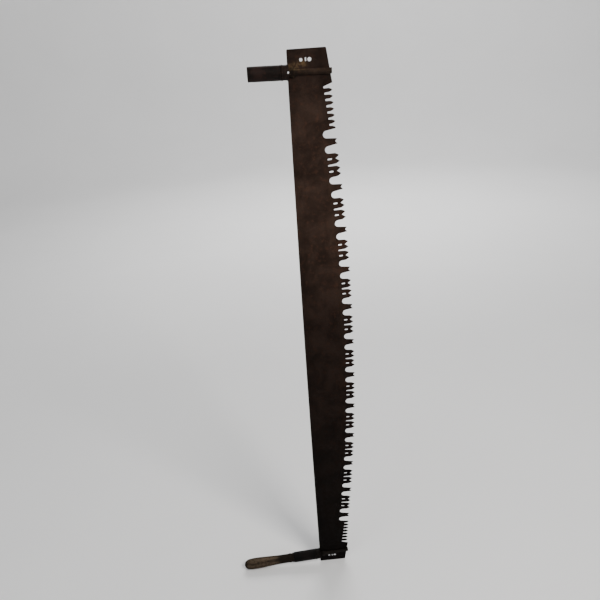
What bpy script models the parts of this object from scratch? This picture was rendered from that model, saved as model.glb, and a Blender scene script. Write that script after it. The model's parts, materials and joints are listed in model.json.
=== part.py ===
"""Two-man crosscut saw: a toothed steel blade with a clamping loop handle on each end.

The blade stands on its lower end. Metres; +Z runs up the blade, +X points from the back edge to the
teeth and Y is the blade's thickness. The origin is the middle of the blade's lower end face.

Each handle is built in its own frame: its origin is where the handle's axis meets the blade's back
edge, +X points along the axis towards the teeth, and the socket and grip lie on the -X side.
"""

from math import asin, cos, hypot, pi, radians, sin, tan

import bmesh
import bpy
from mathutils import Matrix, Vector

# ---- blade -------------------------------------------------------------------------------------
LENGTH = 1.524
THICKNESS = 0.0020
END_WIDTH = 0.0810
BACK_X = -END_WIDTH / 2
BACK_CROWN = 0.0034
TIP_RISE_MIDDLE = 0.1274
TIP_DROP_ENDS = 0.0514
TIP_SLOPE_NEAR_ENDS = 0.0680
UPPER_WIDENING = 0.0026
END_CORNER_RADIUS = 0.0025

RAKER_PITCH = 0.1036
RAKER_COUNT = 12
FIRST_RAKER = (LENGTH - RAKER_PITCH * (RAKER_COUNT - 1)) / 2

PLAIN_EDGE_LENGTH = 0.0700
PLAIN_EDGE_WIDTH = 0.0915
PLAIN_TOOTH_COUNT = 7
PLAIN_TOOTH_PITCH = 0.0131
PLAIN_FIRST_TIP = 0.0842
PLAIN_SLOT_DEPTH_OUTER = 0.0192
PLAIN_SLOT_DEPTH_INNER = 0.0140
PLAIN_SLOT_RADIUS = 0.0022
PLAIN_SHOULDER_DEPTH = 0.0072
TOOTH_SWELL_DEPTH = 0.0026
TOOTH_SWELL = 0.0021

RAKER_HALF_TIP = 0.00575
RAKER_NOTCH_DEPTH = 0.0046
GULLET_CENTRE = 0.0166
GULLET_RADIUS = 0.0083
GULLET_DEPTH_MIDDLE = 0.0255
GULLET_DEPTH_EXTRA_ENDS = 0.0085
CUTTER_TIPS = (0.0312, 0.0439)
CUTTER_NOTCH_DEPTH = 0.0088
CUTTER_SHOULDER_DEPTH = 0.0084
SLOT_RADIUS = 0.0017
# shares of the gullets' depth
SLOT_DEPTH_SHARE = 0.94
WINDOW_TOP_SHARE = 0.58
WINDOW_BOTTOM_SHARE = 0.92
WINDOW_HALF_WIDTH = 0.0019

# from the back edge, from the end, radius
BOLT_HOLES = ((0.0294, 0.0216, 0.0033), (0.0474, 0.0216, 0.0041))
NARROW_HOLE = (0.0393, 0.0210)
NARROW_HOLE_RADIUS = 0.0014
NARROW_HOLE_HALF_LENGTH = 0.0038
DIMPLE = (0.0612, 0.0216, 0.0042)
DIMPLE_DEPTH = 0.0008
SEAT_NOTCH_DEPTH = 0.0036
SEAT_NOTCH_HALF_HEIGHT = 0.0027

# ---- handles -----------------------------------------------------------------------------------
UPPER_AXIS_HEIGHT = LENGTH - 0.0446
UPPER_DROOP = radians(-1.0)
LOWER_AXIS_HEIGHT = 0.0345
LOWER_DROOP = radians(4.2)

GAP = 0.0003
STRAP_WIDTH = 0.0120
STRAP_THICKNESS = 0.0022
STRAP_INNER_GAP = 0.0030
STRAP_NESTING = 0.0008
STRAP_BEND_STEPS = 12
LUG_RADIUS = 0.0110
LUG_CENTRE = 0.0115
TAIL_END = -0.0240
SIGHT_GAP_START = -0.0006
SIGHT_GAP_END = 0.0036
SIGHT_GAP_HALF_HEIGHT = 0.0027

TANG_START = -0.0110
TANG_HALF_THICKNESS = 0.0011
BOLT_SHOULDER = -0.0248
BOLT_END = -0.0550
BOLT_RADIUS = 0.0060
RIVET_PLACES = (-0.0145, -0.0205)
RIVET_RADIUS = 0.0017
RIVET_HEAD_RADIUS = 0.0028
RIVET_HEAD_HEIGHT = 0.0014
STOP_PIN_PLACE = -0.0512
STOP_PIN_RADIUS = 0.0015
STOP_PIN_HALF_LENGTH = 0.0092

SADDLE_FRONT = 0.0026
SADDLE_BACK = -0.0140
SADDLE_RADIUS = 0.0163
SADDLE_WAIST_RADIUS = 0.0154
SADDLE_BORE_RADIUS = 0.0080
WASHER_THICKNESS = 0.0020
WASHER_RADIUS = 0.0159
SOCKET_RADIUS = 0.0156
SOCKET_BORE_RADIUS = 0.0131
SOCKET_MOUTH = -0.0848
NUT_FRONT = -0.0268
NUT_BACK = -0.0388
NUT_PIN_PLACE = -0.0328
NUT_PIN_RADIUS = 0.0019
NUT_PIN_DEPTH = 0.0026
NAIL_PLACE = -0.0720
NAIL_RADIUS = 0.0017
NAIL_HEAD_RADIUS = 0.0032
NAIL_LENGTH = 0.0170
GRIP_TENON_START = -0.0570
GRIP_TIP = -0.2460

ROUND_STEPS = 40
SMALL_ROUND_STEPS = 16
SMOOTH_ANGLE = radians(35)

# name: base colour, roughness, metallic
FINISHES = {
    "rusted_blade_steel": ((0.060, 0.036, 0.026), 0.72, 0.55),
    "forged_iron": ((0.048, 0.032, 0.026), 0.70, 0.60),
    "cast_iron": ((0.040, 0.027, 0.023), 0.78, 0.50),
    "wrought_tube": ((0.045, 0.031, 0.026), 0.70, 0.55),
    "fastener_iron": ((0.052, 0.038, 0.030), 0.62, 0.65),
    "weathered_wood": ((0.300, 0.220, 0.140), 0.85, 0.0),
}


# ---- shared helpers ----------------------------------------------------------------------------
def clear_scene():
    for obj in list(bpy.data.objects):
        bpy.data.objects.remove(obj, do_unlink=True)


def material(name):
    found = bpy.data.materials.get(name)
    if found:
        return found
    colour, roughness, metallic = FINISHES[name]
    made = bpy.data.materials.new(name)
    made.use_nodes = True
    shader = made.node_tree.nodes["Principled BSDF"]
    shader.inputs["Base Color"].default_value = (*colour, 1.0)
    shader.inputs["Roughness"].default_value = roughness
    shader.inputs["Metallic"].default_value = metallic
    return made


def object_from(bm, name, finish):
    """Turns the bmesh into a smooth-shaded mesh object with its finish."""
    mesh = bpy.data.meshes.new(name)
    bm.to_mesh(mesh)
    bm.free()
    mesh.shade_smooth()
    mesh.set_sharp_from_angle(angle=SMOOTH_ANGLE)
    mesh.materials.append(material(finish))
    obj = bpy.data.objects.new(name, mesh)
    bpy.context.scene.collection.objects.link(obj)
    return obj


def circle(centre, radius, steps, start=0.0, sweep=2 * pi):
    """Points on a circle's arc. A full turn leaves out the repeated last point."""
    count = steps if sweep >= 2 * pi else steps + 1
    turns = [start + sweep * i / steps for i in range(count)]
    return [(centre[0] + radius * cos(turn), centre[1] + radius * sin(turn)) for turn in turns]


def plate(outline, holes, thickness):
    """A flat plate in the XZ plane, centred on y = 0, from an outline and its holes."""
    bm = bmesh.new()
    for loop in (outline, *holes):
        verts = [bm.verts.new((x, -thickness / 2, z)) for x, z in loop]
        for a, b in zip(verts, verts[1:] + verts[:1]):
            bm.edges.new((a, b))
    bmesh.ops.triangle_fill(bm, use_beauty=True, use_dissolve=False, edges=bm.edges[:])
    made = bmesh.ops.extrude_face_region(bm, geom=bm.faces[:])
    moved = [v for v in made["geom"] if isinstance(v, bmesh.types.BMVert)]
    bmesh.ops.translate(bm, verts=moved, vec=(0, thickness, 0))
    bmesh.ops.recalc_face_normals(bm, faces=bm.faces)
    return bm


def turned(profile, steps=ROUND_STEPS):
    """A solid turned about the X axis from a closed (x, radius) profile. Radius 0 is a point on it."""
    bm = bmesh.new()
    rings = []
    for x, radius in profile:
        if radius == 0:
            rings.append([bm.verts.new((x, 0, 0))] * steps)
        else:
            rings.append([bm.verts.new((x, y, z)) for y, z in circle((0, 0), radius, steps)])
    on_axis = any(radius == 0 for _, radius in profile)
    following = rings[1:] if on_axis else rings[1:] + rings[:1]
    for ring, beyond in zip(rings, following):
        for i in range(steps):
            j = (i + 1) % steps
            corners = [ring[i], ring[j], beyond[j], beyond[i]]
            bm.faces.new(list(dict.fromkeys(corners)))
    bmesh.ops.recalc_face_normals(bm, faces=bm.faces)
    return bm


def rod(start, end, radius, steps=SMALL_ROUND_STEPS):
    """A plain cylinder between two points."""
    a, b = Vector(start), Vector(end)
    turn = (b - a).to_track_quat("Z", "Y").to_matrix().to_4x4()
    place = Matrix.Translation((a + b) / 2) @ turn
    bm = bmesh.new()
    bmesh.ops.create_cone(
        bm, cap_ends=True, segments=steps, radius1=radius, radius2=radius, depth=(b - a).length, matrix=place
    )
    return bm


def box(low, high):
    """A plain block between two corners."""
    low, high = Vector(low), Vector(high)
    bm = bmesh.new()
    place = Matrix.Translation((low + high) / 2) @ Matrix.Diagonal((*(high - low), 1.0))
    bmesh.ops.create_cube(bm, size=1.0, matrix=place)
    return bm


def boolean(obj, bm, operation, label):
    """Adds a Boolean modifier whose helper shape is hidden, and rides with the object's parent."""
    mesh = bpy.data.meshes.new(f"{obj.name}_{label}")
    bm.to_mesh(mesh)
    bm.free()
    helper = bpy.data.objects.new(mesh.name, mesh)
    bpy.context.scene.collection.objects.link(helper)
    helper.parent = obj
    helper.hide_render = True
    helper.display_type = "WIRE"
    modifier = obj.modifiers.new(label, "BOOLEAN")
    modifier.operation = operation
    modifier.solver = "EXACT"
    modifier.object = helper


def cut(obj, bm, label):
    boolean(obj, bm, "DIFFERENCE", label)


def join(obj, bm, label):
    boolean(obj, bm, "UNION", label)


# ---- blade outline -----------------------------------------------------------------------------
def from_middle(height):
    """-1 at the lower end, 0 at mid-length, +1 at the upper end."""
    return (height - LENGTH / 2) / (LENGTH / 2)


def back_edge(height):
    """x of the back edge, which is slightly crowned."""
    return BACK_X - BACK_CROWN * (1 - from_middle(height) ** 2)


def widening(height):
    """How much further out the toothed side stands on the upper half, which is worn less."""
    return UPPER_WIDENING * max(0.0, from_middle(height)) ** 1.2


def tooth_line(height):
    """x of the line that the tooth tips stand on: an arc, which runs out straight past the end rakers."""
    past_raker = max(0.0, FIRST_RAKER - min(height, LENGTH - height))
    along_arc = max(FIRST_RAKER, min(LENGTH - FIRST_RAKER, height))
    arc = TIP_RISE_MIDDLE - TIP_DROP_ENDS * from_middle(along_arc) ** 2
    return BACK_X + arc - TIP_SLOPE_NEAR_ENDS * past_raker + widening(height)


def below_tip(height, depth):
    """The point at a depth below the tooth line, square to the line."""
    step = 0.001
    slope = (tooth_line(height + step) - tooth_line(height - step)) / (2 * step)
    length = hypot(1, slope)
    return tooth_line(height) - depth / length, height + depth * slope / length


def plain_edge(height):
    """x of the untoothed edge near either end of the blade."""
    distance = min(height, LENGTH - height)
    straight = END_WIDTH + (PLAIN_EDGE_WIDTH - END_WIDTH) * distance / PLAIN_EDGE_LENGTH
    return BACK_X + straight + widening(height)


def gullet_depth(height):
    return GULLET_DEPTH_MIDDLE + GULLET_DEPTH_EXTRA_ENDS * from_middle(height) ** 2


def round_slot(centre, radius, depth, steps):
    """(height, depth) points of a slot's round bottom, going up the blade."""
    turns = [pi * i / steps for i in range(steps + 1)]
    return [(centre - radius * cos(turn), depth - radius + radius * sin(turn)) for turn in turns]


def plain_slots():
    """(height, depth) points of the plain teeth at the lower end, up to the last plain tip."""
    points = []
    for k in range(PLAIN_TOOTH_COUNT):
        tip = PLAIN_FIRST_TIP + k * PLAIN_TOOTH_PITCH
        share = k / (PLAIN_TOOTH_COUNT - 1)
        depth = PLAIN_SLOT_DEPTH_OUTER + (PLAIN_SLOT_DEPTH_INNER - PLAIN_SLOT_DEPTH_OUTER) * share
        shoulder = PLAIN_SLOT_RADIUS + 0.0003
        centre = tip - PLAIN_TOOTH_PITCH / 2
        if k:
            points.append((centre - shoulder, PLAIN_SHOULDER_DEPTH))
        points += round_slot(centre, PLAIN_SLOT_RADIUS, depth, 6)
        points.append((centre + shoulder, PLAIN_SHOULDER_DEPTH))
        points += [(tip - TOOTH_SWELL, TOOTH_SWELL_DEPTH), (tip, 0), (tip + TOOTH_SWELL, TOOTH_SWELL_DEPTH)]
    return points


def raker_tips(centre):
    return [(centre - RAKER_HALF_TIP, 0), (centre, RAKER_NOTCH_DEPTH), (centre + RAKER_HALF_TIP, 0)]


def gullet(centre):
    return round_slot(centre, GULLET_RADIUS, gullet_depth(centre), 10)


def cutter_group(raker):
    """(height, depth) points of the cutters between one raker and the next: two pairs and a slot."""
    end = raker + RAKER_PITCH
    outer, inner = CUTTER_TIPS
    notch = (outer + inner) / 2
    shoulder = GULLET_CENTRE + GULLET_RADIUS + 0.0008
    middle = raker + RAKER_PITCH / 2
    slot_shoulder = SLOT_RADIUS + 0.0009
    lower_pair = [
        (raker + shoulder, CUTTER_SHOULDER_DEPTH),
        (raker + outer - TOOTH_SWELL, TOOTH_SWELL_DEPTH),
        (raker + outer, 0),
        (raker + notch, CUTTER_NOTCH_DEPTH),
        (raker + inner, 0),
        (raker + inner + TOOTH_SWELL, TOOTH_SWELL_DEPTH),
        (middle - slot_shoulder, CUTTER_SHOULDER_DEPTH),
    ]
    upper_pair = [(raker + end - height, depth) for height, depth in reversed(lower_pair)]
    slot = round_slot(middle, SLOT_RADIUS, gullet_depth(middle) * SLOT_DEPTH_SHARE, 6)
    return lower_pair + slot + upper_pair


def mirrored(points):
    """The same (height, depth) points on the other half of the blade."""
    return [(LENGTH - height, depth) for height, depth in reversed(points)]


def tooth_profile():
    """(height, depth) points along the whole toothed edge, from the lower end up."""
    rakers = [FIRST_RAKER + RAKER_PITCH * k for k in range(RAKER_COUNT)]
    ends = plain_slots()
    points = ends + gullet(rakers[0] - GULLET_CENTRE)
    for raker in rakers[:-1]:
        points += raker_tips(raker)
        points += gullet(raker + GULLET_CENTRE)
        points += cutter_group(raker)
        points += gullet(raker + RAKER_PITCH - GULLET_CENTRE)
    points += raker_tips(rakers[-1])
    return points + gullet(rakers[-1] + GULLET_CENTRE) + mirrored(ends)


def seat_notch(height):
    """The half-round notch in the back edge at a handle's axis, going down the blade."""
    edge = back_edge(height)
    inner = edge + SEAT_NOTCH_DEPTH - SEAT_NOTCH_HALF_HEIGHT
    bottom = circle((inner, height), SEAT_NOTCH_HALF_HEIGHT, 10, pi / 2, -pi)
    return [(edge, height + SEAT_NOTCH_HALF_HEIGHT), *bottom, (edge, height - SEAT_NOTCH_HALF_HEIGHT)]


def blade_outline():
    """(x, z) points round the blade, from the lower back corner."""
    r = END_CORNER_RADIUS
    points = circle((BACK_X + r, r), r, 4, pi, pi / 2)
    points += circle((plain_edge(0) - r, r), r, 4, -pi / 2, pi / 2)
    points += [(plain_edge(PLAIN_EDGE_LENGTH), PLAIN_EDGE_LENGTH)]
    points += [below_tip(height, depth) for height, depth in tooth_profile()]
    points += [(plain_edge(LENGTH - PLAIN_EDGE_LENGTH), LENGTH - PLAIN_EDGE_LENGTH)]
    points += circle((plain_edge(LENGTH) - r, LENGTH - r), r, 4, 0, pi / 2)
    points += circle((BACK_X + r, LENGTH - r), r, 4, pi / 2, pi / 2)
    steps = 24
    upper, lower = UPPER_AXIS_HEIGHT - SEAT_NOTCH_HALF_HEIGHT, LOWER_AXIS_HEIGHT + SEAT_NOTCH_HALF_HEIGHT
    heights = [upper + (lower - upper) * i / steps for i in range(1, steps)]
    back = [(back_edge(height), height) for height in heights]
    return points + seat_notch(UPPER_AXIS_HEIGHT) + back + seat_notch(LOWER_AXIS_HEIGHT)


def cutter_windows():
    """The long holes in the cutter pairs, which leave a bridge below each notch."""
    holes = []
    notch = sum(CUTTER_TIPS) / 2
    for k in range(RAKER_COUNT - 1):
        raker = FIRST_RAKER + RAKER_PITCH * k
        for centre in (raker + notch, raker + RAKER_PITCH - notch):
            top = gullet_depth(centre) * WINDOW_TOP_SHARE + WINDOW_HALF_WIDTH
            bottom = gullet_depth(centre) * WINDOW_BOTTOM_SHARE - WINDOW_HALF_WIDTH
            far = circle((centre, bottom), WINDOW_HALF_WIDTH, 6, 0, pi)
            near = circle((centre, top), WINDOW_HALF_WIDTH, 6, pi, pi)
            holes.append([below_tip(height, depth) for height, depth in far + near])
    return holes


def end_holes():
    """The two round bolt holes and the narrow one near each end of the blade."""
    holes = []
    for from_back, from_end, radius in BOLT_HOLES:
        for height in (from_end, LENGTH - from_end):
            holes.append(circle((BACK_X + from_back, height), radius, 20))
    from_back, from_end = NARROW_HOLE
    reach = NARROW_HOLE_HALF_LENGTH - NARROW_HOLE_RADIUS
    for height in (from_end, LENGTH - from_end):
        above = circle((BACK_X + from_back, height + reach), NARROW_HOLE_RADIUS, 6, 0, pi)
        below = circle((BACK_X + from_back, height - reach), NARROW_HOLE_RADIUS, 6, pi, pi)
        holes.append(above + below)
    return holes


def make_blade():
    bm = plate(blade_outline(), cutter_windows() + end_holes(), THICKNESS)
    blade = object_from(bm, "blade", "rusted_blade_steel")
    from_back, from_end, radius = DIMPLE
    face = -THICKNESS / 2
    for label, height in (("lower_dimple", from_end), ("upper_dimple", LENGTH - from_end)):
        x = BACK_X + from_back
        cut(blade, rod((x, face + DIMPLE_DEPTH, height), (x, face - DIMPLE_DEPTH, height), radius), label)


# ---- handle pieces, in the handle's frame ------------------------------------------------------
def strap_reach(droop, height):
    """How far along the handle's axis the strap's round bend starts. The blade's edge nests in it."""
    lean = (PLAIN_EDGE_WIDTH - END_WIDTH) / PLAIN_EDGE_LENGTH
    half_width = STRAP_WIDTH / 2
    width = plain_edge(height) - back_edge(height)
    across = width * tan(abs(droop)) + half_width / cos(droop)
    return (width + lean * across) / cos(droop) + half_width * tan(abs(droop)) - STRAP_NESTING


def strap_blank_outline(leg):
    """Half of the flat blank, as (distance from the bend's middle, z), for a leg of this length."""
    half = STRAP_WIDTH / 2
    lug_from_bend = leg - LUG_CENTRE
    join_angle = asin(half / LUG_RADIUS)
    lug = circle((lug_from_bend, 0), LUG_RADIUS, 16, pi - join_angle, -(pi - 2 * join_angle))
    return [(0.0, half), *lug, (leg - TAIL_END, half)]


def strap_window(leg):
    """The opening in a strap leg at the blade's back edge."""
    radius = (SIGHT_GAP_END - SIGHT_GAP_START) / 2
    middle = leg - (SIGHT_GAP_START + SIGHT_GAP_END) / 2
    reach = SIGHT_GAP_HALF_HEIGHT - radius
    return circle((middle, reach), radius, 6, 0, pi) + circle((middle, -reach), radius, 6, pi, pi)


def make_strap(name, reach):
    """The flat band, cut as one blank and bent round the tooth edge into a U with two equal legs."""
    inner = STRAP_INNER_GAP / 2
    neutral = inner + STRAP_THICKNESS / 2
    leg = reach + neutral * pi / 2
    one_way = strap_blank_outline(leg)
    above = [(-s, z) for s, z in reversed(one_way)] + one_way[1:]
    outline = above + [(s, -z) for s, z in reversed(above)]
    window = strap_window(leg)
    rivets = [circle((leg - x, 0), RIVET_RADIUS + GAP, SMALL_ROUND_STEPS) for x in RIVET_PLACES]
    one_side = [window, *rivets]
    holes = one_side + [[(-s, z) for s, z in reversed(hole)] for hole in one_side]
    bm = plate(outline, holes, STRAP_THICKNESS)
    for i in range(STRAP_BEND_STEPS + 1):
        s = neutral * (pi * i / STRAP_BEND_STEPS - pi / 2)
        geom = bm.verts[:] + bm.edges[:] + bm.faces[:]
        bmesh.ops.bisect_plane(bm, geom=geom, plane_co=(s, 0, 0), plane_no=(1, 0, 0))
    for v in bm.verts:
        s, radius = v.co.x, neutral + v.co.y
        angle = max(-pi / 2, min(pi / 2, s / neutral))
        straight = abs(s) - abs(angle) * neutral
        v.co.x = reach + radius * cos(angle) - straight
        v.co.y = -radius * sin(angle)
    return object_from(bm, name, "forged_iron")


def make_draw_bolt(name):
    """The threaded bolt, with a flat tang that sits between the strap's tails."""
    profile = [
        (BOLT_SHOULDER, 0),
        (BOLT_SHOULDER, BOLT_RADIUS - 0.0008),
        (BOLT_SHOULDER - 0.0008, BOLT_RADIUS),
        (BOLT_END + 0.0010, BOLT_RADIUS),
        (BOLT_END, BOLT_RADIUS - 0.0010),
        (BOLT_END, 0),
    ]
    bolt = object_from(turned(profile, 32), name, "fastener_iron")
    t, half = TANG_HALF_THICKNESS, STRAP_WIDTH / 2 - GAP - 0.0006
    join(bolt, box((BOLT_SHOULDER - 0.0040, -t, -half), (TANG_START, t, half)), "tang")
    for label, x in zip(("near_rivet_hole", "far_rivet_hole"), RIVET_PLACES):
        cut(bolt, rod((x, -0.01, 0), (x, 0.01, 0), RIVET_RADIUS + GAP), label)
    z = STOP_PIN_HALF_LENGTH
    cut(bolt, rod((STOP_PIN_PLACE, 0, -z), (STOP_PIN_PLACE, 0, z), STOP_PIN_RADIUS + GAP), "stop_pin_hole")
    return bolt


def make_rivet(name, x):
    """A rivet across both tails and the tang, with a domed head at each end."""
    face = STRAP_INNER_GAP / 2 + STRAP_THICKNESS + GAP
    steps = 3
    turns = [pi / 2 * i / steps for i in range(steps)]
    dome = [(face + RIVET_HEAD_HEIGHT * sin(turn), RIVET_HEAD_RADIUS * cos(turn)) for turn in turns]
    half = [(face, RIVET_RADIUS), *dome, (face + RIVET_HEAD_HEIGHT, 0)]
    profile = [(-y, radius) for y, radius in reversed(half)] + half
    bm = turned(profile, SMALL_ROUND_STEPS)
    bmesh.ops.rotate(bm, verts=bm.verts, cent=(0, 0, 0), matrix=Matrix.Rotation(pi / 2, 3, "Z"))
    bmesh.ops.translate(bm, verts=bm.verts, vec=(x, 0, 0))
    return object_from(bm, name, "fastener_iron")


def make_saddle(name, droop):
    """The beaded ring that bears on the blade's back edge, slotted for the blade and gapped across."""
    rim, waist, bead = SADDLE_RADIUS, SADDLE_WAIST_RADIUS, 0.0036
    profile = [
        (SADDLE_BACK, SADDLE_BORE_RADIUS),
        (SADDLE_BACK, waist - 0.0008),
        (SADDLE_BACK + 0.0008, rim - 0.0002),
        (SADDLE_BACK + bead * 0.5, rim),
        (SADDLE_BACK + bead, rim - 0.0002),
        (SADDLE_BACK + bead + 0.0010, waist),
        (SADDLE_FRONT - bead - 0.0030, waist),
        (SADDLE_FRONT - bead - 0.0018, rim - 0.0002),
        (SADDLE_FRONT - 0.0012, rim),
        (SADDLE_FRONT, rim - 0.0012),
        (SADDLE_FRONT, SADDLE_BORE_RADIUS),
    ]
    saddle = object_from(turned(profile), name, "cast_iron")
    floor = -0.0004 - SADDLE_RADIUS * sin(abs(droop))
    half = THICKNESS / 2 + GAP
    cut(saddle, box((floor, -half, -0.03), (SADDLE_FRONT + 0.01, half, 0.03)), "blade_slot")
    gap = SIGHT_GAP_HALF_HEIGHT
    cut(saddle, box((SIGHT_GAP_START, -0.03, -gap), (SADDLE_FRONT + 0.01, 0.03, gap)), "sight_gap")
    return saddle


def make_washer(name):
    front = SADDLE_BACK - GAP
    back = front - WASHER_THICKNESS + GAP
    bore = SADDLE_BORE_RADIUS + GAP
    profile = [(front, bore), (back, bore), (back, WASHER_RADIUS), (front, WASHER_RADIUS)]
    return object_from(turned(profile), name, "fastener_iron")


def socket_front():
    return SADDLE_BACK - WASHER_THICKNESS - GAP


def make_socket(name):
    """The open tube that takes the wooden grip, with holes for the nut's pin and the grip's nail."""
    front, chamfer = socket_front(), 0.0008
    profile = [
        (front, SOCKET_BORE_RADIUS),
        (SOCKET_MOUTH + chamfer, SOCKET_BORE_RADIUS),
        (SOCKET_MOUTH, SOCKET_BORE_RADIUS + chamfer / 2),
        (SOCKET_MOUTH, SOCKET_RADIUS - chamfer),
        (SOCKET_MOUTH + chamfer, SOCKET_RADIUS),
        (front - chamfer, SOCKET_RADIUS),
        (front, SOCKET_RADIUS - chamfer),
    ]
    socket = object_from(turned(profile), name, "wrought_tube")
    pin_and_nail = (("nut_pin_hole", NUT_PIN_PLACE, NUT_PIN_RADIUS), ("nail_hole", NAIL_PLACE, NAIL_RADIUS))
    for label, x, radius in pin_and_nail:
        cut(socket, rod((x, 0.005, 0), (x, 0.025, 0), radius + GAP), label)
    return socket


def make_nut(name):
    """The round nut fixed in the socket, which runs on the draw bolt."""
    outer, bore, chamfer = SOCKET_BORE_RADIUS - GAP, BOLT_RADIUS + GAP, 0.0008
    profile = [
        (NUT_FRONT, bore),
        (NUT_BACK, bore),
        (NUT_BACK, outer - chamfer),
        (NUT_BACK + chamfer, outer),
        (NUT_FRONT - chamfer, outer),
        (NUT_FRONT, outer - chamfer),
    ]
    nut = object_from(turned(profile), name, "fastener_iron")
    depth = outer - NUT_PIN_DEPTH - GAP
    cut(nut, rod((NUT_PIN_PLACE, depth, 0), (NUT_PIN_PLACE, 0.02, 0), NUT_PIN_RADIUS + GAP), "pin_hole")
    return nut


def make_nut_pin(name):
    inner = SOCKET_BORE_RADIUS - GAP - NUT_PIN_DEPTH
    pin = rod((NUT_PIN_PLACE, inner, 0), (NUT_PIN_PLACE, SOCKET_RADIUS + 0.0002, 0), NUT_PIN_RADIUS)
    return object_from(pin, name, "fastener_iron")


def make_stop_pin(name):
    z = STOP_PIN_HALF_LENGTH
    pin = rod((STOP_PIN_PLACE, 0, -z), (STOP_PIN_PLACE, 0, z), STOP_PIN_RADIUS)
    return object_from(pin, name, "fastener_iron")


def make_grip(name):
    """The turned wooden grip: a tenon in the socket, two beads, a swelling body and a round tip."""
    tenon = SOCKET_BORE_RADIUS - GAP
    shoulder = SOCKET_MOUTH - GAP
    body = [
        (shoulder, 0.0134),
        (shoulder - 0.0015, 0.0142),
        (shoulder - 0.0040, 0.0142),
        (shoulder - 0.0062, 0.0129),
        (shoulder - 0.0085, 0.0129),
        (shoulder - 0.0108, 0.0139),
        (shoulder - 0.0140, 0.0139),
        (shoulder - 0.0165, 0.0131),
        (-0.1250, 0.0132),
        (-0.1480, 0.0140),
        (-0.1700, 0.0151),
        (-0.1920, 0.0161),
        (-0.2100, 0.0165),
        (-0.2230, 0.0159),
    ]
    base, radius = body[-1]
    steps = 6
    tip = [
        (base + (GRIP_TIP - base) * sin(pi / 2 * i / steps), radius * cos(pi / 2 * i / steps) ** 0.85)
        for i in range(1, steps)
    ]
    profile = [
        (GRIP_TENON_START, 0),
        (GRIP_TENON_START, tenon - 0.001),
        (GRIP_TENON_START - 0.001, tenon),
        (shoulder, tenon),
        *body,
        *tip,
        (GRIP_TIP, 0),
    ]
    grip = object_from(turned(profile), name, "weathered_wood")
    depth = SOCKET_RADIUS + GAP - NAIL_LENGTH
    cut(grip, rod((NAIL_PLACE, depth - GAP, 0), (NAIL_PLACE, 0.02, 0), NAIL_RADIUS + GAP), "nail_hole")
    return grip


def make_nail(name):
    """The nail that holds the grip in its socket, driven from the far side."""
    seat = SOCKET_RADIUS + GAP
    head = 0.0011
    profile = [
        (seat - NAIL_LENGTH, 0),
        (seat - NAIL_LENGTH, NAIL_RADIUS),
        (seat, NAIL_RADIUS),
        (seat, NAIL_HEAD_RADIUS),
        (seat + head * 0.6, NAIL_HEAD_RADIUS * 0.9),
        (seat + head, NAIL_HEAD_RADIUS * 0.5),
        (seat + head, 0),
    ]
    bm = turned(profile, SMALL_ROUND_STEPS)
    bmesh.ops.rotate(bm, verts=bm.verts, cent=(0, 0, 0), matrix=Matrix.Rotation(pi / 2, 3, "Z"))
    bmesh.ops.translate(bm, verts=bm.verts, vec=(NAIL_PLACE, 0, 0))
    return object_from(bm, name, "fastener_iron")


# ---- assembly ----------------------------------------------------------------------------------
def make_handle(side, height, droop, has_grip):
    """One whole handle, parented to an empty on its axis at the blade's back edge."""
    seat = bpy.data.objects.new(f"{side}_handle_axis", None)
    bpy.context.scene.collection.objects.link(seat)
    seat.location = (back_edge(height), 0, height)
    seat.rotation_euler = (0, -droop, 0)
    pieces = [
        make_strap(f"{side}_loop_strap", strap_reach(droop, height)),
        make_draw_bolt(f"{side}_draw_bolt"),
        make_rivet(f"{side}_near_strap_rivet", RIVET_PLACES[0]),
        make_rivet(f"{side}_far_strap_rivet", RIVET_PLACES[1]),
        make_stop_pin(f"{side}_stop_pin"),
        make_saddle(f"{side}_saddle_ring", droop),
        make_washer(f"{side}_thrust_washer"),
        make_socket(f"{side}_socket_tube"),
        make_nut(f"{side}_socket_nut"),
        make_nut_pin(f"{side}_nut_pin"),
    ]
    if has_grip:
        pieces += [make_grip(f"{side}_wooden_grip"), make_nail(f"{side}_grip_nail")]
    for piece in pieces:
        piece.parent = seat


def main():
    clear_scene()
    make_blade()
    make_handle("upper", UPPER_AXIS_HEIGHT, UPPER_DROOP, has_grip=False)
    make_handle("lower", LOWER_AXIS_HEIGHT, LOWER_DROOP, has_grip=True)


main()
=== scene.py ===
import json
from math import acos, atan2, cos, degrees, floor, hypot, pi, radians, sin

import bmesh
import bpy
from mathutils import Matrix, Vector, noise


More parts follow.
